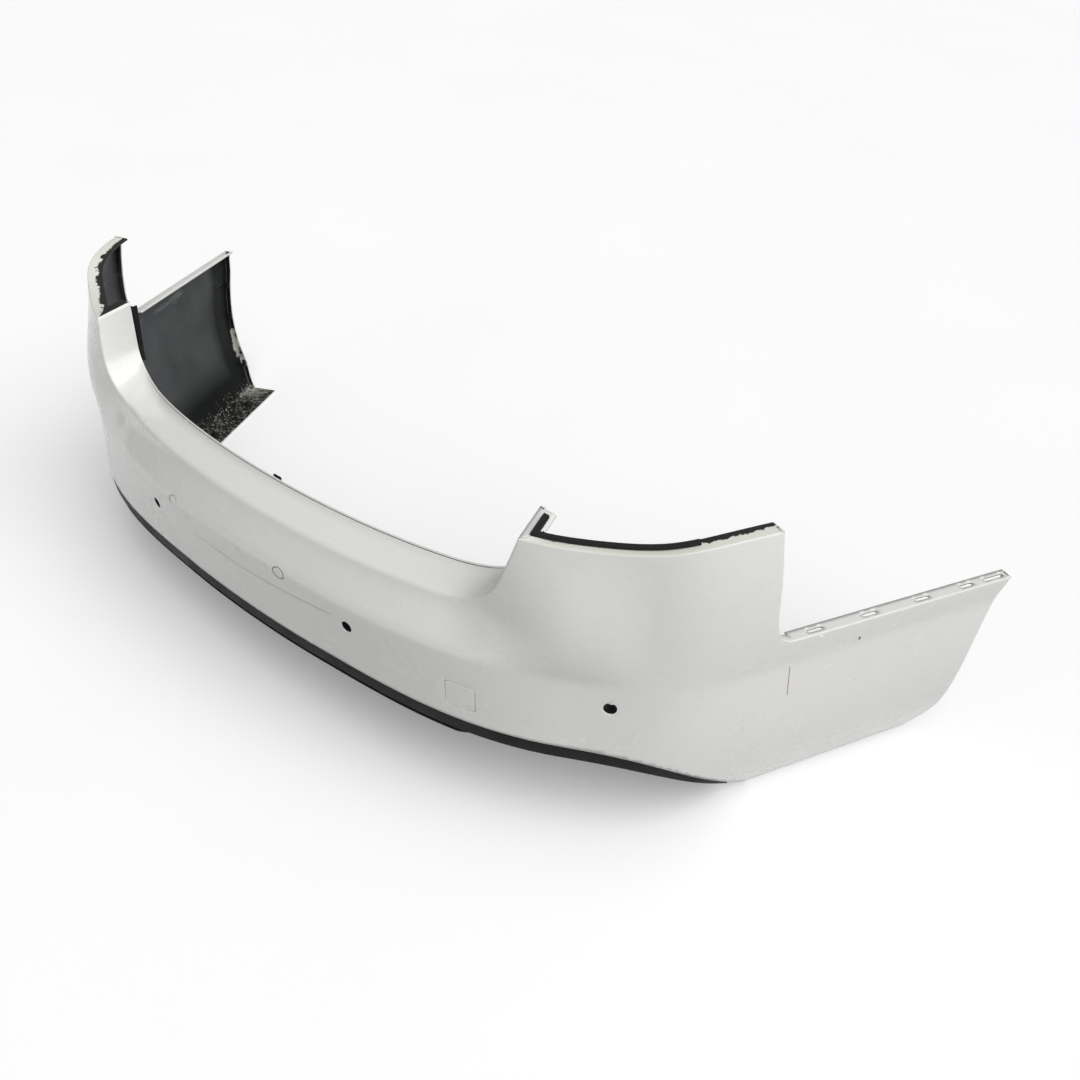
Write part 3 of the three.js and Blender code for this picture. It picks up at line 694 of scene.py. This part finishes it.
def build_skin():
    loop, names, radius = shell_outline()
    inner = inset(loop, radius)
    holes = shell_holes()
    verts, faces = fill(inner, [wide for wide, _, _ in holes], MESH_PITCH)
    sheet = Sheet()
    sheet.add_triangles(on_surface(verts), faces)
    for wide, edge, roll in holes:
        rolled_edge(sheet, wide, edge, roll, roll + 0.4)
    seat_points = add_flanges(sheet, loop, names, radius, inner)
    bare = add_post_seats(sheet, *add_ledge(sheet, loop, names, radius, inner))
    seat_points.update(dict.fromkeys(bare, BARE_SEAT))
    obj = sheet.make("painted_shell", ["white_paint", "bare_plastic"])
    mark_edges(obj, seat_points, loop, names)
    shell = obj.modifiers.new("wall", "SOLIDIFY")
    shell.thickness = SKIN / 1000
    shell.offset = -1
    shell.use_even_offset = True
    shell.thickness_clamp = 0
    shell.material_offset = 1
    shell.material_offset_rim = 0
    return obj


# ---------- materials ----------
def grey(v):
    return (v, v, v)


class Shading:
    """Builds a node tree. A value is a number, a colour or another node's output."""

    def __init__(self, tree):
        self.nodes, self.links = tree.nodes, tree.links

    def put(self, socket, value):
        if isinstance(value, (int, float)):
            socket.default_value = value
        elif isinstance(value, tuple):
            socket.default_value = (*value, 1)
        else:
            self.links.new(value, socket)

    def place(self, stretch=None):
        """The point in the object's own space, stretched or not."""
        point = self.nodes.new("ShaderNodeTexCoord").outputs["Object"]
        if stretch is None:
            return point
        turn = self.nodes.new("ShaderNodeMapping")
        turn.inputs["Scale"].default_value = stretch
        self.put(turn.inputs["Vector"], point)
        return turn.outputs["Vector"]

    def noise(self, scale, detail=4.0, rough=0.55, stretch=(1, 1, 1)):
        tex = self.nodes.new("ShaderNodeTexNoise")
        for name, value in (("Scale", scale), ("Detail", detail), ("Roughness", rough)):
            tex.inputs[name].default_value = value
        self.put(tex.inputs["Vector"], self.place(stretch))
        return tex.outputs["Fac"]

    def ramp(self, source, low, low_colour, high, high_colour):
        """One colour up to low, another from high, and a blend between."""
        node = self.nodes.new("ShaderNodeValToRGB")
        stops = ((low, low_colour), (high, high_colour))
        for element, (at, colour) in zip(node.color_ramp.elements, stops):
            element.position = at
            element.color = (*colour, 1)
        self.put(node.inputs["Fac"], source)
        return node.outputs["Color"]

    def blend(self, fac, a, b):
        node = self.nodes.new("ShaderNodeMix")
        node.data_type = "RGBA"
        for name, value in (("Factor", fac), (6, a), (7, b)):
            self.put(node.inputs[name], value)
        return node.outputs[2]

    def math(self, operation, a, b):
        node = self.nodes.new("ShaderNodeMath")
        node.operation = operation
        self.put(node.inputs[0], a)
        self.put(node.inputs[1], b)
        return node.outputs[0]

    def times(self, a, b):
        return self.math("MULTIPLY", a, b)

    def plus(self, a, b):
        return self.math("ADD", a, b)

    def scaled(self, value, low, high, to_low=0.0, to_high=1.0):
        """Follows a value from low to high, and stays at either end beyond them."""
        node = self.nodes.new("ShaderNodeMapRange")
        ends = {"From Min": low, "From Max": high, "To Min": to_low, "To Max": to_high}
        for name, end in ends.items():
            node.inputs[name].default_value = end
        self.put(node.inputs["Value"], value)
        return node.outputs["Result"]

    def split(self, vector):
        node = self.nodes.new("ShaderNodeSeparateXYZ")
        self.put(node.inputs[0], vector)
        return node.outputs

    def attribute(self, name):
        node = self.nodes.new("ShaderNodeAttribute")
        node.attribute_name = name
        return node.outputs["Fac"]


class Look(Shading):
    """A material, by its main shader's sockets."""

    def __init__(self, name):
        self.material = bpy.data.materials.new(name)
        self.material.use_nodes = True
        super().__init__(self.material.node_tree)
        self.shader = self.nodes["Principled BSDF"]

    def set(self, name, value):
        self.put(self.shader.inputs[name], value)

    def bump(self, height, distance, strength):
        node = self.nodes.new("ShaderNodeBump")
        node.inputs["Strength"].default_value = strength
        node.inputs["Distance"].default_value = distance
        self.put(node.inputs["Height"], height)
        self.set("Normal", node.outputs["Normal"])


def make_paint():
    look = Look("white_paint")
    shade = look.ramp(look.noise(2.2, 3), 0.3, (0.8, 0.8, 0.775), 0.7, (0.825, 0.825, 0.8))
    dust = look.ramp(look.noise(38, 6, 0.7, (1, 1, 2.2)), 0.52, grey(0), 0.8, grey(0.16))
    shade = look.blend(dust, shade, (0.62, 0.6, 0.56))
    scuffs = look.ramp(look.noise(7, 8, 0.75, (0.5, 0.5, 5)), 0.68, grey(0), 0.76, grey(0.14))
    shade = look.blend(scuffs, shade, (0.5, 0.49, 0.46))
    # the seat is a little yellow with overspray and painted lighter than the paint round it, a
    # painted highlight where it faces up; its paint stops in a ragged line
    depth = look.attribute("seat_depth")
    shade = look.blend(look.scaled(depth, 0.0005, 0.002, 0.0, 0.55), shade, (0.93, 0.93, 0.8))
    ragged = look.times(look.noise(55, 5, 0.7), 0.03)
    bare = look.scaled(look.plus(depth, ragged), 0.031, 0.0318)
    look.set("Base Color", look.blend(bare, shade, (0.016, 0.017, 0.017)))
    gloss = look.ramp(look.noise(11, 7, 0.65), 0.35, grey(0.2), 0.75, grey(0.34))
    look.set("Roughness", look.blend(bare, gloss, grey(0.6)))
    look.set("Coat Weight", look.times(look.math("SUBTRACT", 1.0, bare), 0.6))
    look.set("Coat Roughness", 0.07)
    look.bump(look.noise(420, 2), 0.00012, 0.35)


def make_bare_plastic():
    look = Look("bare_plastic")
    base = look.ramp(look.noise(3.6, 4), 0.36, (0.01, 0.012, 0.0118), 0.66, (0.036, 0.04, 0.043))
    haze = look.ramp(look.noise(7, 6, 0.55, (1, 1, 0.45)), 0.5, grey(0), 0.72, grey(0.4))
    base = look.blend(haze, base, (0.075, 0.083, 0.092))
    distance = look.attribute("arch_distance")
    up = look.split(look.place())["Z"]
    # darker within a hand's breadth of the arch edge and low down
    wander = look.times(look.noise(6, 4), 0.03)
    near_arch = look.scaled(look.plus(distance, wander), 0.105, 0.07)
    low = look.scaled(look.plus(up, wander), 0.115, 0.06)
    dark = look.math("MAXIMUM", near_arch, low)
    base = look.blend(look.times(dark, 0.85), base, (0.006, 0.007, 0.0065))
    # a run of thinned paint near the top of the wing
    streak = look.ramp(look.noise(16, 5, 0.6, (0.4, 0.4, 1.6)), 0.6, grey(0), 0.68, grey(0.4))
    top = look.times(look.scaled(up, 0.24, 0.27), streak)
    base = look.blend(top, base, (0.22, 0.26, 0.27))
    # overspray that stops in a ragged line on the lower half of the arch edge
    patches = look.noise(34, 9, 0.75)
    middle = look.times(look.scaled(up, 0.155, 0.13), look.scaled(up, 0.03, 0.06))
    reach = look.times(look.scaled(distance, 0.03, 0.004), middle)
    spray = look.plus(patches, look.times(reach, 0.3))
    spray = look.ramp(spray, 0.72, grey(0), 0.76, grey(0.85))
    base = look.blend(spray, base, (0.5, 0.5, 0.46))
    # a thin pale line where the paint wraps round the fold
    fold = look.scaled(distance, 0.0045, 0.002, 0.0, 0.6)
    base = look.blend(fold, base, (0.3, 0.3, 0.28))
    # grit on the bottom flange and just above it
    floor_dirt = look.scaled(up, 0.06, 0.0, 0.0, 0.2)
    grit = look.plus(look.noise(170, 5, 0.85), floor_dirt)
    flecks = look.ramp(grit, 0.72, grey(0), 0.78, grey(0.8))
    base = look.blend(flecks, base, (0.42, 0.41, 0.36))
    # paler dirt at the lower tip of the arch
    tip = look.times(look.scaled(distance, 0.06, 0.02), look.scaled(up, 0.012, 0.004))
    ragged = look.ramp(look.noise(60, 6, 0.7), 0.42, grey(0), 0.5, grey(0.8))
    look.set("Base Color", look.blend(look.times(tip, ragged), base, (0.4, 0.4, 0.35)))
    look.set("Roughness", look.ramp(look.noise(9, 5), 0.3, grey(0.34), 0.7, grey(0.6)))
    look.set("Specular IOR Level", look.scaled(dark, 0.0, 1.0, 0.45, 0.08))
    look.bump(look.noise(260, 4), 0.0004, 0.4)


def make_moulding():
    look = Look("black_moulding")
    cloud = look.noise(5, 6, 0.6, (1, 1, 3))
    base = look.ramp(cloud, 0.35, (0.004, 0.0042, 0.0045), 0.75, (0.012, 0.012, 0.0125))
    dust = look.ramp(look.noise(60, 8, 0.75), 0.56, grey(0), 0.8, grey(0.16))
    look.set("Base Color", look.blend(dust, base, (0.1, 0.095, 0.085)))
    look.set("Roughness", look.ramp(look.noise(14, 5), 0.3, grey(0.45), 0.7, grey(0.65)))
    look.set("Specular IOR Level", 0.18)
    grain = look.nodes.new("ShaderNodeTexVoronoi")
    grain.inputs["Scale"].default_value = 900
    look.put(grain.inputs["Vector"], look.place())
    look.bump(grain.outputs["Distance"], 0.0003, 0.35)


def make_foam():
    look = Look("seal_foam")
    look.set("Base Color", look.ramp(look.noise(240, 6, 0.8), 0.3, grey(0.004), 0.75, grey(0.022)))
    look.set("Roughness", 0.95)
    look.bump(look.noise(700, 5, 0.8), 0.0007, 0.8)


def make_zinc():
    look = Look("zinc")
    look.set("Base Color", look.ramp(look.noise(160, 5), 0.3, grey(0.4), 0.75, (0.62, 0.61, 0.58)))
    look.set("Metallic", 1.0)
    look.set("Roughness", look.ramp(look.noise(90, 5), 0.3, grey(0.28), 0.7, grey(0.5)))
    look.bump(look.noise(600, 3), 0.0002, 0.3)


def make_dark_steel():
    look = Look("dark_steel")
    tint = look.ramp(look.noise(160, 5), 0.3, grey(0.03), 0.75, (0.07, 0.065, 0.06))
    look.set("Base Color", tint)
    look.set("Metallic", 0.8)
    look.set("Roughness", 0.55)
    look.bump(look.noise(600, 3), 0.0002, 0.3)


MARK_COLOURS = {
    "pencil": ((0.07, 0.035, 0.04), (0.2, 0.13, 0.13)),
    "scratch": ((0.33, 0.24, 0.22), (0.45, 0.42, 0.4)),
    "marker": ((0.3, 0.07, 0.09), (0.5, 0.3, 0.3)),
}


def make_marks():
    for name, (colour, pale) in MARK_COLOURS.items():
        look = Look(name)
        look.set("Base Color", look.ramp(look.noise(130, 6, 0.8), 0.4, colour, 0.65, pale))
        look.set("Roughness", 0.6)


make_marks()
for make in (make_paint, make_bare_plastic, make_moulding, make_foam, make_zinc, make_dark_steel):
    make()


# ---------- the tow cover ----------
def build_tow_cover():
    sheet = Sheet()
    wide = hole_loop(TOW_AT, tow_outline(-0.8))
    verts, faces = fill(wide, [], 4.0)
    sheet.add_triangles(on_surface(verts), faces)
    edge = hole_loop(TOW_AT, tow_outline(0.0))
    rolled_edge(sheet, wide[::-1], edge[::-1], 0.8, 1.4)
    obj = sheet.make("tow_cover_plate", ["white_paint", "bare_plastic"])
    shell = obj.modifiers.new("wall", "SOLIDIFY")
    shell.thickness = 0.0026
    shell.offset = -1
    shell.material_offset = 1
    shell.material_offset_rim = 1
    return obj


# ---------- black mouldings ----------
def band_height(q):
    return 20 * (lower_z(q) / 150) ** 1.3


def band_foot(q):
    return lower_z(q) - band_height(q)


def tuck(q):
    return mix(1.12, 1.42, ease(0, 1, np.abs(q)))


def below_edge(q, inward, z):
    p = surface(q, lower_z(q)) - outward(q) * np.broadcast_to(inward, q.shape)[:, None]
    p[:, 2] = z
    return p


def tab_inset(q):
    return (SKIN + GAP) * (1 + 0.4 * ease(1, VALANCE_END, np.abs(q)))


def thick(obj, wall):
    m = obj.modifiers.new("wall", "SOLIDIFY")
    m.thickness = wall / 1000
    m.offset = -1
    m.use_even_offset = True
    return obj


def build_valance():
    q = np.linspace(-1.882, 1.882, 420)
    scale = lower_z(q) / LOWER_Z
    foot = 12 * scale
    reach = tuck(q) * (band_foot(q) - foot)
    top = lower_z(q) - GAP
    profile = [
        below_edge(q, reach + 8, foot),
        below_edge(q, 0.6 * reach + 26 * scale, mix(band_foot(q), foot, 0.5)),
        below_edge(q, 42 * scale + 2, band_foot(q) - 13 * scale),
        below_edge(q, 0.8, band_foot(q)),
        below_edge(q, 0.6, top),
        below_edge(q, tab_inset(q), top),
        surface(q, lower_z(q) + VALANCE_TAB, 0.0) - outward(q) * tab_inset(q)[:, None],
    ]
    rows = rounded(profile, [30.0, 12.0, 3.0, 0.6, 0.8])
    sheet = Sheet()
    sheet.add_rows(subdivided(rows, 12.0))
    return thick(sheet.make("valance_strip", ["black_moulding"]), VALANCE_WALL)


def build_panel():
    q = np.linspace(-PANEL_END, PANEL_END, 240)
    foot = tuck(q) * band_foot(q) - 12
    soft = 5 * ease(PANEL_END - 0.05, PANEL_END, np.abs(q))
    profile = [
        below_edge(q, foot + PANEL_FOOT, 0.0),
        below_edge(q, foot, 0.0),
        below_edge(q, 0.6 * foot + 20, 0.5 * band_foot(q) - 9),
        below_edge(q, 40.0, band_foot(q) - 20.5),
        below_edge(q, 3 + soft, band_foot(q) - 8 + 0.4 * soft),
        below_edge(q, 2 + soft, band_foot(q) - 3.8),
    ]
    sheet = Sheet()
    sheet.add_rows(subdivided(rounded(profile, [2.0, 30.0, 12.0, 2.5]), 12.0))
    return thick(sheet.make("centre_panel", ["black_moulding"]), VALANCE_WALL)


# ---------- the foam strip on the right lamp seat ---
def build_seal():
    tip, corner = np.array(POST_TIP), surface(*POST_TOP)
    q = mix(POST_TOP[0], SEAM_TOP[0], np.linspace(0, 8 / 12, 160))
    edge = surface(q, seat_z(q))
    depth = seat_depth(q)
    length = np.linalg.norm(tip - corner)
    low = []
    for t in SEAL_BAND:
        down = np.linspace(SEAL_POST_END, SEAT_FLANGE * t / length, 20)
        post = mix(corner, tip, down[:, None]) + BESIDE * t
        leg = edge + depth * t
        low.append(np.concatenate([paced(post, 0, 14)[:-1], paced(leg, 0, 90)]) + (0, 0, 2 * GAP))
    high = [row + (0, 0, SEAL_HEIGHT) for row in low]
    rows = rounded([low[0], high[0], high[1], low[1]], [1.2, 1.2], 3)
    rows = subdivided(rows + [rows[0]], 3.0)
    sheet = Sheet()
    sheet.add_rows(rows, turned=True)
    for end in (0, -1):
        cap = [sheet.index(row[end]) for row in rows[:-1]]
        sheet.add_face(cap if end == 0 else cap[::-1])
    return sheet.make("foam_strip_right", ["seal_foam"])


# ---------- marks on the paint ----------
MARK_LIFT = 0.15


def draw_mark(name, path, width, look):
    """A thin flat line on the painted surface, along stations and heights."""
    path = np.array(path)
    steps = np.linspace(0, len(path) - 1, 12 * len(path))
    q, z = (np.interp(steps, np.arange(len(path)), path[:, k]) for k in range(2))
    line = surface(q, z, MARK_LIFT)
    along = np.gradient(line, axis=0)
    across = np.cross(outward(q), along)
    across *= width / 2 / np.linalg.norm(across, axis=1, keepdims=True)
    sheet = Sheet()
    sheet.add_rows([line - across, line + across], turned=True)
    obj = sheet.make(name, [look])
    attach(obj, "cover_shell")


def loop_path(q, z, along, up, start, stop):
    """Part of an oval on the surface, angles in degrees."""
    a = np.radians(np.linspace(start, stop, 24))
    return [(q + along * math.cos(t) / REAR_HALF, z + up * math.sin(t)) for t in a]


PAINT_MARKS = [
    ("pencil_ring", loop_path(0.189, 276, 12.0, 9.0, 0, 360), 1.6, "pencil"),
    ("pencil_arc", loop_path(-0.301, 279, 11.0, 9.0, 20, 230), 1.5, "pencil"),
    ("long_scratch", [(-0.21, 241), (0.008, 238), (0.201, 243), (0.374, 250)], 0.8, "scratch"),
    ("marker_line", [(2.003, 270), (2.006, 244), (2.01, 219)], 1.1, "marker"),
    ("wing_speck", [(2.298, 287), (2.301, 281)], 3.0, "pencil"),
]

skin = build_skin()
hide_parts("bumper_skin")
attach(skin, "cover_shell")
tow = build_tow_cover()
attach(tow, "tow_cover")
valance = build_valance()
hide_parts("lower_valance")
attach(valance, "cover_shell")
panel = build_panel()
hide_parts("valance_centre_panel")
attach(panel, "cover_shell")
seal = build_seal()
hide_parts("lamp_seal_right")
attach(seal, "cover_shell")
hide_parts("tow_eye_cover")
for mark in PAINT_MARKS:
    draw_mark(*mark)

for name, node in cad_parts.items():
    look = "black_moulding"
    if name.startswith(("arch_clip", "skirt_nut")):
        look = "dark_steel"
    if name.startswith("centre_panel_screw"):
        look = "zinc"
    node.data.materials.clear()
    node.data.materials.append(bpy.data.materials[look])

# ---------- floor, light, camera ----------
bpy.ops.mesh.primitive_plane_add(size=40)
floor = bpy.context.object
floor.name = "floor"
paper = Look("floor")
paper.set("Base Color", paper.ramp(paper.noise(1.5, 3), 0.3, grey(0.92), 0.7, grey(0.94)))
paper.set("Roughness", 0.85)
paper.set("Emission Color", grey(1))
paper.set("Emission Strength", 0.16)
floor.data.materials.append(paper.material)
floor.visible_diffuse = False


def area_light(name, place, target, size, power):
    light = bpy.data.lights.new(name, "AREA")
    light.shape = "RECTANGLE"
    light.size, light.size_y = size
    light.energy = power
    obj = bpy.data.objects.new(name, light)
    obj.location = place
    aim = Vector(target) - Vector(place)
    obj.rotation_euler = aim.to_track_quat("-Z", "Y").to_euler()
    bpy.context.scene.collection.objects.link(obj)


sun = bpy.data.lights.new("softbox", "SUN")
sun.energy = 2.25
sun.angle = 1.2
sun.specular_factor = 0.12
sun_object = bpy.data.objects.new("softbox", sun)
sun_object.rotation_euler = Vector((0.62, -0.1, 0.78)).to_track_quat("Z", "Y").to_euler()
bpy.context.scene.collection.objects.link(sun_object)
area_light("front fill", (0.5, -3.8, 2.4), (0, 0, 0.2), (3.0, 0.5), 3)

world = bpy.data.worlds.new("studio")
bpy.context.scene.world = world
world.use_nodes = True
sky = Shading(world.node_tree)
toward = sky.split(sky.nodes.new("ShaderNodeTexCoord").outputs["Generated"])
# dimmer from below and from the left
from_below = sky.scaled(toward["Z"], -0.5, 0.1, 0.5, 1.0)
from_left = sky.scaled(toward["X"], -0.9, 0.3, 0.4, 1.0)
background = sky.nodes["Background"]
sky.put(background.inputs["Color"], sky.times(from_below, from_left))
background.inputs["Strength"].default_value = 0.4
bpy.context.scene.view_settings.view_transform = "Standard"

camera = bpy.data.cameras.new("camera")
camera.lens = 36.667
camera.sensor_width = 36
camera.clip_end = 100
eye = bpy.data.objects.new("camera", camera)
azimuth, elevation = math.radians(41.43), math.radians(35.87)
eye.location = (1.2393, -0.8089 + SHIFT_Y / 1000, 1.2596)
level = math.cos(elevation)
view = Vector((-math.sin(azimuth) * level, math.cos(azimuth) * level, -math.sin(elevation)))
eye.rotation_euler = view.to_track_quat("-Z", "Y").to_euler()
bpy.context.scene.collection.objects.link(eye)
bpy.context.scene.camera = eye
